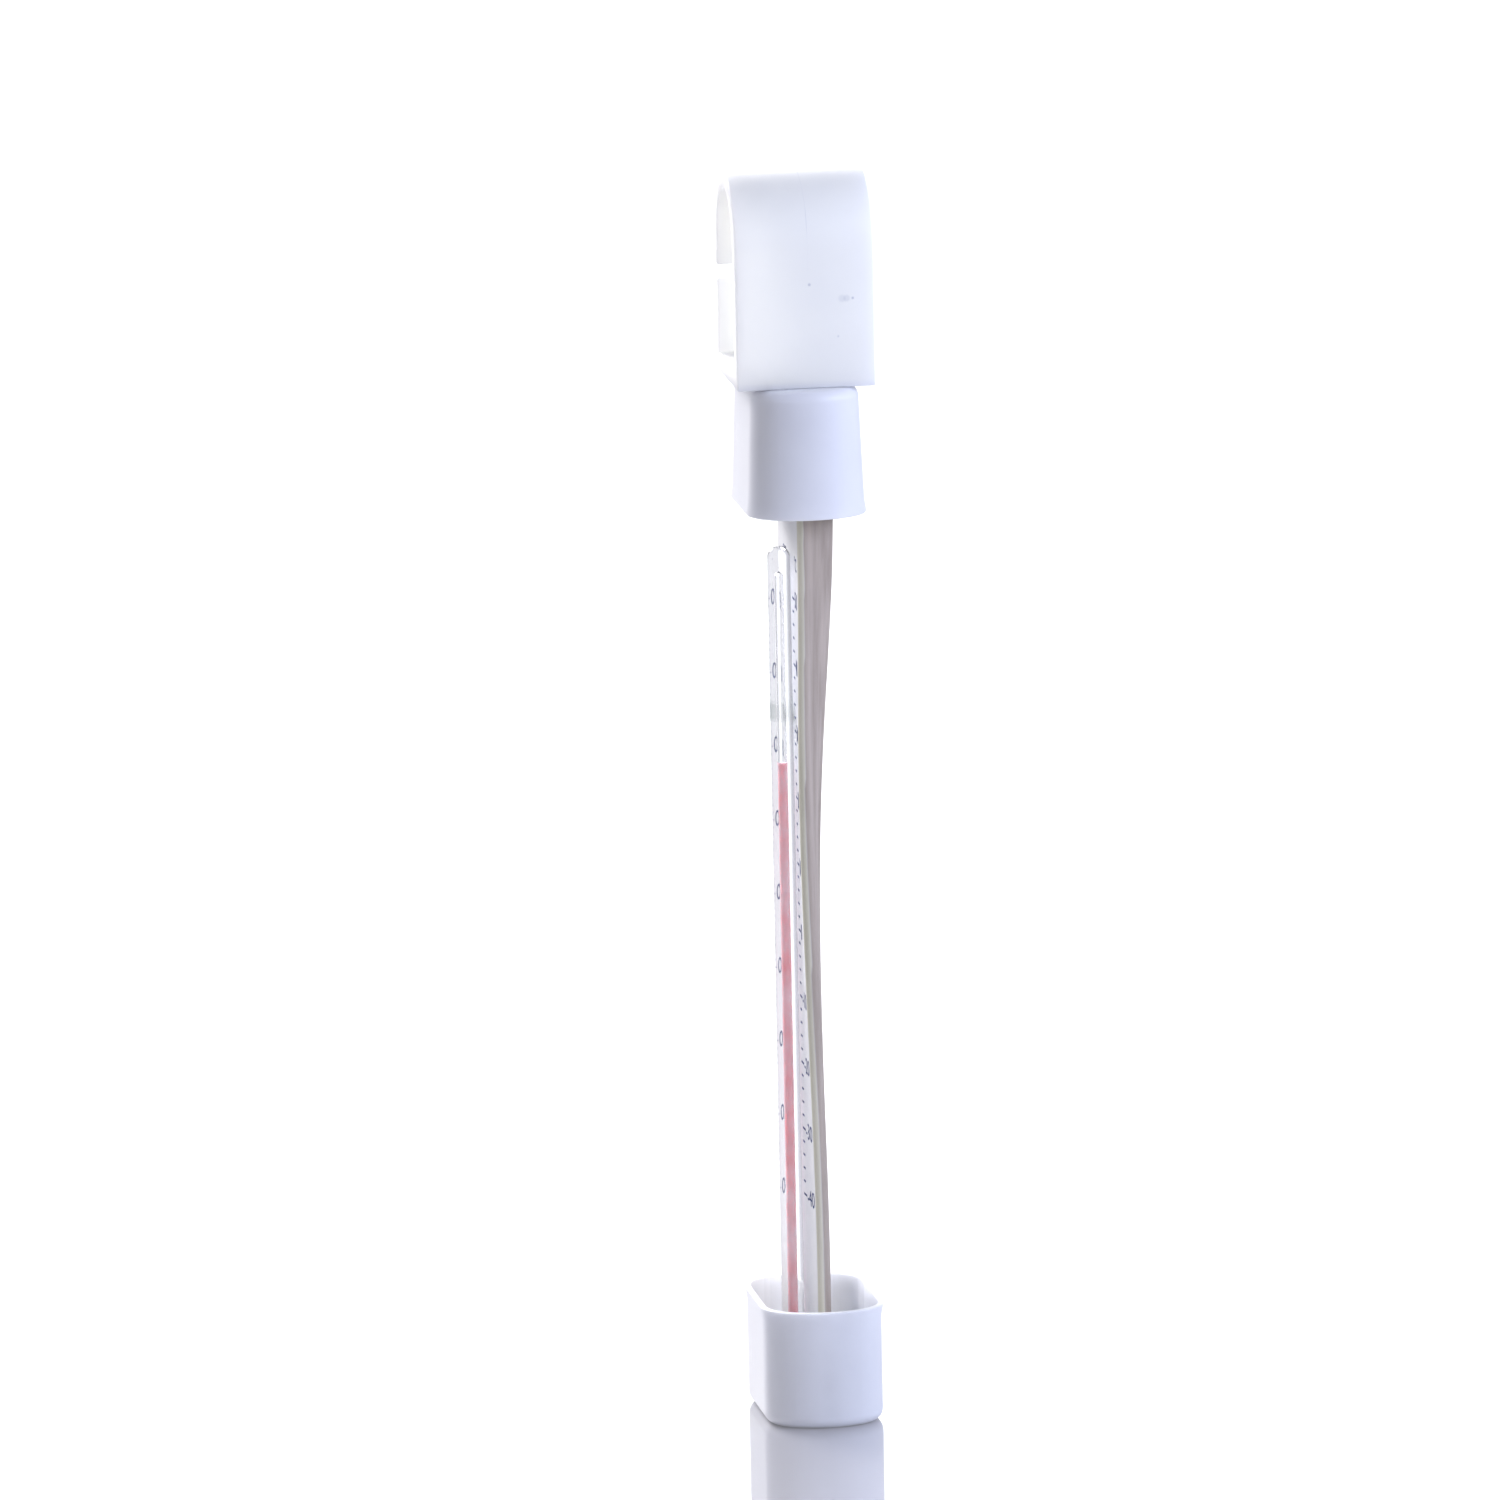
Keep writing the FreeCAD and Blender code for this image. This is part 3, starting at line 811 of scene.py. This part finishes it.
SLIT = (STEM_R - 0.07, STEM_R + 0.38)
SLIT_CLEARANCE = 0.1
PANEL_STEPS = [0.0, 0.7, SLIT[0], SLIT[1], 2.6, 3.6, 4.6, 5.6, 6.6, 7.5, 8.1, CARD_HALF_WIDTH - FOLD_R]
FOLD_STEPS = 14
FLAP_STEPS = 12
CARD_ROWS = 90


def smooth_step(value):
    t = min(max(value, 0.0), 1.0)
    return t * t * (3 - 2 * t)


def bow_at(z):
    rise = BOW_RISE * smooth_step((z - BOW_LOW_Z) / (BOW_HIGH_Z - BOW_LOW_Z))
    return BOW_LOW + rise - BOW_DROP * smooth_step((z - BOW_HIGH_Z) / (BOW_TOP_Z - BOW_HIGH_Z))


def panel_y(x, z):
    """The printed face's Y, bowed a little from edge to edge."""
    return CARD_FRONT_Y - bow_at(z) * (x / (CARD_HALF_WIDTH - FOLD_R)) ** 2


def card_half(z):
    """(x, y, zone) points of the front side, from the middle to the right flap's edge.

    Zone 0 is the panel, 1 the bare edge and 2 the flap.
    """
    bow = bow_at(z)
    share = max(z - FLAP_START_Z, 0) / (FLAP_FULL_Z - FLAP_START_Z)
    opening = FLAP_CLOSED_DEG + (FLAP_OPEN_DEG - FLAP_CLOSED_DEG) * share ** FLAP_POWER
    opening += FLAP_BELLY_DEG * math.sin(math.pi * min(share, 1.0))
    edge_x = CARD_HALF_WIDTH - FOLD_R
    lean = -2 * math.atan(bow / edge_x)
    fold = math.pi - math.radians(min(opening, FLAP_LIMIT_DEG)) - lean
    centre = (edge_x - FOLD_R * math.sin(lean), CARD_FRONT_Y - bow + FOLD_R * math.cos(lean))
    points = [(x, panel_y(x, z), 0) for x in PANEL_STEPS]
    for i in range(1, FOLD_STEPS + 1):
        angle = lean + fold * i / FOLD_STEPS
        zone = 2 if angle > math.radians(BARE_DEG) else 1
        points.append((centre[0] + FOLD_R * math.sin(angle), centre[1] - FOLD_R * math.cos(angle), zone))
    x, y, _ = points[-1]
    for i in range(1, FLAP_STEPS + 1):
        angle = lean + fold + math.radians(FLAP_BEND_DEG) * share * (i / FLAP_STEPS) ** 3
        x += FLAP_LENGTH / FLAP_STEPS * math.cos(angle)
        y += FLAP_LENGTH / FLAP_STEPS * math.sin(angle)
        points.append((x, y, 2))
    return points


def make_card(mat):
    """Folded sheet, one row of points at each height, with two slits for the strap."""
    z_low, z_high = CARD_LOW.z, CARD_HIGH.z
    heights = [z_low + (z_high - z_low) * i / CARD_ROWS for i in range(CARD_ROWS + 1)]
    slit_z = (STRAP_LOW.z - SLIT_CLEARANCE, STRAP_HIGH.z + SLIT_CLEARANCE)
    heights = sorted(set(heights) | set(slit_z))
    verts, zones, rows = [], [], []
    for z in heights:
        half = card_half(z)
        row = [(-x, y, zone) for x, y, zone in reversed(half[1:])] + half
        rows.append(range(len(verts), len(verts) + len(row)))
        verts += [(x, y, z) for x, y, zone in row]
        zones += [zone for x, y, zone in row]
    faces = []
    for k in range(len(rows) - 1):
        in_slit = slit_z[0] <= heights[k] and heights[k + 1] <= slit_z[1]
        for i in range(len(rows[k]) - 1):
            middle = abs(verts[rows[k][i]][0] + verts[rows[k][i + 1]][0]) / 2
            flat = abs(i - len(rows[k]) // 2) < len(PANEL_STEPS)
            if in_slit and flat and SLIT[0] < middle < SLIT[1]:
                continue
            faces.append((rows[k][i], rows[k][i + 1], rows[k + 1][i + 1], rows[k + 1][i]))
    card = new_piece("scale_card_sheet", verts, faces)
    layer = card.data.attributes.new("zone", "FLOAT_VECTOR", "POINT")
    for i, zone in enumerate(zones):
        layer.data[i].vector = (1.0 if zone == 1 else 0.0, 1.0 if zone == 2 else 0.0, 0.0)
    thick = card.modifiers.new("board", "SOLIDIFY")
    thick.thickness = CARD_THICKNESS * MM
    thick.offset = -1.0
    apply_modifiers(card)
    smooth(card, sharp_deg=60)
    wear(card, mat)
    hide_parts("scale_card")
    return card


INK_LIFT = 0.012
INK_THICKNESS = 0.02
TICK_START = STEM_R + 0.2
C_TICKS = (0.26, 1.3, 2.0)
F_TICKS = (0.1, 0.6, 0.95)
NUMERAL_SIZE = 3.1
UNIT_SIZE = 2.6
UNIT_RISE = 4.9
NUMERAL_GAP = 0.35


def tick_tree(mat):
    """Node tree that rules a tick at each step, and a longer one at each numbered step."""
    tree = bpy.data.node_groups.new("ruled_marks", "GeometryNodeTree")
    face = tree.interface
    for name, kind in (("Count", "INT"), ("Every", "INT"), ("Pitch", "FLOAT"), ("Width", "FLOAT"),
                       ("Minor Length", "FLOAT"), ("Major Length", "FLOAT"), ("Thickness", "FLOAT"),
                       ("Start", "VECTOR")):
        face.new_socket(name, in_out="INPUT", socket_type="NodeSocket" + kind.title())
    face.new_socket("Geometry", in_out="OUTPUT", socket_type="NodeSocketGeometry")
    given = tree.nodes.new("NodeGroupInput").outputs
    output = tree.nodes.new("NodeGroupOutput")
    link = tree.links.new

    line = tree.nodes.new("GeometryNodeMeshLine")
    offset = tree.nodes.new("ShaderNodeCombineXYZ")
    link(given["Pitch"], offset.inputs["Z"])
    link(given["Count"], line.inputs["Count"])
    link(given["Start"], line.inputs["Start Location"])
    link(offset.outputs[0], line.inputs["Offset"])

    index = tree.nodes.new("GeometryNodeInputIndex")
    remainder = math_node(tree, "MODULO", index.outputs[0], given["Every"])
    is_major = tree.nodes.new("FunctionNodeCompare")
    is_major.operation = "LESS_THAN"
    link(remainder, is_major.inputs["A"])
    is_major.inputs["B"].default_value = 0.5
    length = tree.nodes.new("GeometryNodeSwitch")
    length.input_type = "FLOAT"
    link(is_major.outputs[0], length.inputs["Switch"])
    link(given["Minor Length"], length.inputs["False"])
    link(given["Major Length"], length.inputs["True"])
    size = tree.nodes.new("ShaderNodeCombineXYZ")
    link(length.outputs[0], size.inputs["X"])
    link(given["Thickness"], size.inputs["Y"])
    link(given["Width"], size.inputs["Z"])

    bar = tree.nodes.new("GeometryNodeMeshCube")
    bar.inputs["Size"].default_value = (1, 1, 1)
    shifted = tree.nodes.new("GeometryNodeTransform")
    shifted.inputs["Translation"].default_value = (0.5, 0, 0)
    link(bar.outputs["Mesh"], shifted.inputs["Geometry"])
    placed = tree.nodes.new("GeometryNodeInstanceOnPoints")
    link(line.outputs[0], placed.inputs["Points"])
    link(shifted.outputs[0], placed.inputs["Instance"])
    link(size.outputs[0], placed.inputs["Scale"])
    real = tree.nodes.new("GeometryNodeRealizeInstances")
    link(placed.outputs[0], real.inputs[0])
    painted = tree.nodes.new("GeometryNodeSetMaterial")
    painted.inputs["Material"].default_value = mat
    link(real.outputs[0], painted.inputs["Geometry"])
    link(painted.outputs[0], output.inputs[0])
    return tree


def on_panel(obj, side):
    """Lay flat print on the bowed panel, mirrored to the chosen half."""
    for vertex in obj.data.vertices:
        x, y, z = vertex.co / MM
        x = x * side
        vertex.co = Vector((x, panel_y(x, z) - INK_LIFT + y, z)) * MM
    outward(obj)
    return obj


def ruled_marks(name, tree, side, count, every, pitch, ticks):
    """One side's marks. ticks holds their width, the short ones' length and the long ones' length."""
    obj = bpy.data.objects.new(name, bpy.data.meshes.new(name))
    bpy.context.scene.collection.objects.link(obj)
    modifier = obj.modifiers.new("marks", "NODES")
    modifier.node_group = tree
    values = {"Count": count, "Every": every, "Pitch": pitch * MM, "Width": ticks[0] * MM,
              "Minor Length": ticks[1] * MM, "Major Length": ticks[2] * MM,
              "Thickness": INK_THICKNESS * MM, "Start": (TICK_START * MM, 0, MARK_LOW_Z * MM)}
    for item in tree.interface.items_tree:
        if item.in_out == "INPUT":
            modifier[item.identifier] = values[item.name]
    apply_modifiers(obj)
    return on_panel(obj, side)


def lettering(text, x, z, size, align):
    """Upright print as a thin mesh, with x and z at its middle height."""
    curve = bpy.data.curves.new("print", "FONT")
    curve.body = text
    curve.size = size * MM
    curve.extrude = INK_THICKNESS / 2 * MM
    curve.align_x = align
    curve.align_y = "CENTER"
    curve.resolution_u = 3
    obj = bpy.data.objects.new("print", curve)
    bpy.context.scene.collection.objects.link(obj)
    graph = bpy.context.evaluated_depsgraph_get()
    mesh = bpy.data.meshes.new_from_object(obj.evaluated_get(graph))
    bpy.data.objects.remove(obj)
    for vertex in mesh.vertices:
        vertex.co = Vector((x * MM + vertex.co.x, -vertex.co.z, z * MM + vertex.co.y))
    made = bpy.data.objects.new("print", mesh)
    bpy.context.scene.collection.objects.link(made)
    return made


def numerals(name, mat, side, low, high, step, unit, ticks):
    """Numbers beside the long ticks, and the unit over them."""
    near = TICK_START + ticks[2] + NUMERAL_GAP
    align = "LEFT" if side > 0 else "RIGHT"
    pieces = []
    for value in range(low, high + 1, step):
        z = MARK_LOW_Z + (MARK_HIGH_Z - MARK_LOW_Z) * degrees_share(value, unit)
        pieces.append(lettering(str(value), side * near, z, NUMERAL_SIZE, align))
    pieces.append(lettering("°" + unit, side * near, MARK_HIGH_Z + UNIT_RISE, UNIT_SIZE, align))
    obj = join(pieces[0], pieces[1:])
    obj.name = name
    wear(obj, mat)
    return on_panel(obj, 1)


def degrees_share(value, unit):
    """Where a temperature lies between the coldest and the warmest mark."""
    celsius = value if unit == "C" else (value - FREEZING_F) / F_PER_C
    return (celsius - LOW_C) / (HIGH_C - LOW_C)


def make_print():
    """Marks and numbers: Celsius on the right of the stem, Fahrenheit on the left."""
    mat = ink_material()
    tree = tick_tree(mat)
    span = MARK_HIGH_Z - MARK_LOW_Z
    c_count = (HIGH_C - LOW_C) // TICK_STEP + 1
    f_count = (HIGH_F - LOW_F) // TICK_STEP + 1
    c_pitch = span / (c_count - 1)
    f_pitch = span * TICK_STEP / F_PER_C / (HIGH_C - LOW_C)
    return [
        ruled_marks("celsius_marks", tree, 1, c_count, NUMBER_STEP_C // TICK_STEP, c_pitch, C_TICKS),
        ruled_marks("fahrenheit_marks", tree, -1, f_count, NUMBER_STEP_F // TICK_STEP, f_pitch, F_TICKS),
        numerals("celsius_numbers", mat, 1, LOW_C, HIGH_C, NUMBER_STEP_C, "C", C_TICKS),
        numerals("fahrenheit_numbers", mat, -1, LOW_F, HIGH_F, NUMBER_STEP_F, "F", F_TICKS),
    ]


# ---------------------------------------------------------------- camera, floor and light

FRAME_WIDTH = 197.19
CAMERA_AZIMUTH = 81.564
CAMERA_ELEVATION = 10.945
CAMERA_ROLL = -1.139
CAMERA_DISTANCE = 3534.0
SENSOR_WIDTH = 36.0
AIM = Vector((0, 0, 83.0))
AIM_RIGHT = 7.122
AIM_DOWN = 5.574


def make_camera():
    """Long lens at an angle from the front. FRAME_WIDTH millimetres fill the picture at the object."""
    a, e, r = (math.radians(v) for v in (CAMERA_AZIMUTH, CAMERA_ELEVATION, CAMERA_ROLL))
    back = Vector((math.sin(a) * math.cos(e), -math.cos(a) * math.cos(e), math.sin(e)))
    level = Vector((math.cos(a), math.sin(a), 0))
    rise = back.cross(level)
    right = level * math.cos(r) + rise * math.sin(r)
    up = rise * math.cos(r) - level * math.sin(r)
    place = AIM + back * CAMERA_DISTANCE - right * AIM_RIGHT + up * AIM_DOWN
    lens = bpy.data.cameras.new("camera")
    lens.sensor_width = SENSOR_WIDTH
    lens.lens = SENSOR_WIDTH * CAMERA_DISTANCE / FRAME_WIDTH
    lens.clip_start = 0.1
    lens.clip_end = 100.0
    camera = bpy.data.objects.new("camera", lens)
    bpy.context.scene.collection.objects.link(camera)
    camera.matrix_world = Matrix((
        (right.x, up.x, back.x, place.x * MM),
        (right.y, up.y, back.y, place.y * MM),
        (right.z, up.z, back.z, place.z * MM),
        (0, 0, 0, 1),
    ))
    bpy.context.scene.camera = camera


FLOOR_HALF = 6000


def make_floor():
    """Pale polished table top that mirrors the foot of the object."""
    corners = [(x * FLOOR_HALF, y * FLOOR_HALF, 0) for x, y in ((-1, -1), (1, -1), (1, 1), (-1, 1))]
    floor = new_piece("floor", corners, [(0, 1, 2, 3)])
    mat, tree, shader = material("polished_table")
    shader.inputs["Base Color"].default_value = (0.25, 0.25, 0.27, 1)
    shader.inputs["Roughness"].default_value = 0.6
    shader.inputs["Emission Color"].default_value = (1.0, 0.98, 1.0, 1)
    shader.inputs["Emission Strength"].default_value = 0.17
    mirror = add(tree, "ShaderNodeBsdfAnisotropic", Roughness=0.04)
    mirror.inputs["Color"].default_value = (0.97, 0.97, 1.0, 1)
    mix = add(tree, "ShaderNodeMixShader", Fac=0.55)
    tree.links.new(shader.outputs[0], mix.inputs[1])
    tree.links.new(mirror.outputs[0], mix.inputs[2])
    tree.links.new(mix.outputs[0], tree.nodes["Material Output"].inputs["Surface"])
    wear(floor, mat)


PANEL_AZIMUTH = 173.0
PANEL_ELEVATION = 12.0
PANEL_SPREAD = (12.0, 36.0)
PANEL_COLOUR = (2.4, 2.4, 2.4)
SKY_LOW = (0.65, 0.65, 0.70)
SKY_MIDDLE = (0.60, 0.60, 0.66)
SKY_TOP = (0.20, 0.20, 0.24)


def direction_at(azimuth, elevation):
    """Unit vector at an angle from +X about Z, and above level."""
    a, e = math.radians(azimuth), math.radians(elevation)
    return Vector((math.cos(a) * math.cos(e), math.sin(a) * math.cos(e), math.sin(e)))


def make_sky():
    """Even surround that is dimmer overhead, with a bright panel low down behind the object."""
    world = bpy.data.worlds.new("soft_surround")
    bpy.context.scene.world = world
    world.use_nodes = True
    tree = world.node_tree
    shade = tree.nodes["Background"]
    direction = add(tree, "ShaderNodeTexCoord").outputs["Generated"]
    height = axes(tree, direction)[2]
    surround = ramp(tree, height, [(0.0, SKY_LOW), (0.35, SKY_MIDDLE), (1.0, SKY_TOP)])
    towards = add(tree, "ShaderNodeVectorMath", operation="DOT_PRODUCT")
    tree.links.new(direction, towards.inputs[0])
    towards.inputs[1].default_value = direction_at(PANEL_AZIMUTH, PANEL_ELEVATION)
    near, far = (math.cos(math.radians(a)) for a in PANEL_SPREAD)
    inside = ramp_value(tree, towards.outputs["Value"], far, near)
    colour = mix_colour(tree, inside, surround, PANEL_COLOUR)
    tree.links.new(colour, shade.inputs["Color"])
    shade.inputs["Strength"].default_value = 1.0


def soft_lamp(name, azimuth, elevation, distance, size, power, colour):
    """Square lamp aimed at the middle of the object.

    Distance and size are in metres, and power is in watts.
    """
    back = direction_at(azimuth, elevation)
    lamp = bpy.data.lights.new(name, "AREA")
    lamp.size = size
    lamp.energy = power
    lamp.color = colour
    obj = bpy.data.objects.new(name, lamp)
    bpy.context.scene.collection.objects.link(obj)
    turn = back.to_track_quat("Z", "Y").to_matrix().to_4x4()
    obj.matrix_world = Matrix.Translation(AIM * MM + back * distance) @ turn


def make_lights():
    soft_lamp("left_lamp", azimuth=-156, elevation=32, distance=0.38, size=0.16, power=1.95,
              colour=(1.0, 0.98, 1.0))
    soft_lamp("right_lamp", azimuth=54, elevation=26, distance=0.8, size=0.45, power=5.0,
              colour=(0.66, 0.74, 1.0))


# ---------------------------------------------------------------- assembly

bpy.context.scene.view_settings.view_transform = "Standard"
make_camera()
make_floor()
make_sky()
make_lights()

spirit_look = spirit_material()
for piece, slot in ((make_bottom_cap(), "white_plastic"), (make_top_cap(), "white_plastic"),
                    (make_tube(), "clear_plastic"), (make_stem(), "stem_glass"),
                    (make_card(card_material()), "card")):
    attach(piece, ROOT)

reservoir, moving, filler = make_spirit(spirit_look)
for piece, body in ((reservoir, ROOT), (moving, SPIRIT), (filler, ROOT)):
    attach(piece, body)
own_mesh(moving)
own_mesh(filler)

for piece in make_print():
    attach(piece, ROOT)

film = strap_material()
for strap_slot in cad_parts["capillary_strap"].material_slots:
    strap_slot.link = "OBJECT"
    strap_slot.material = film
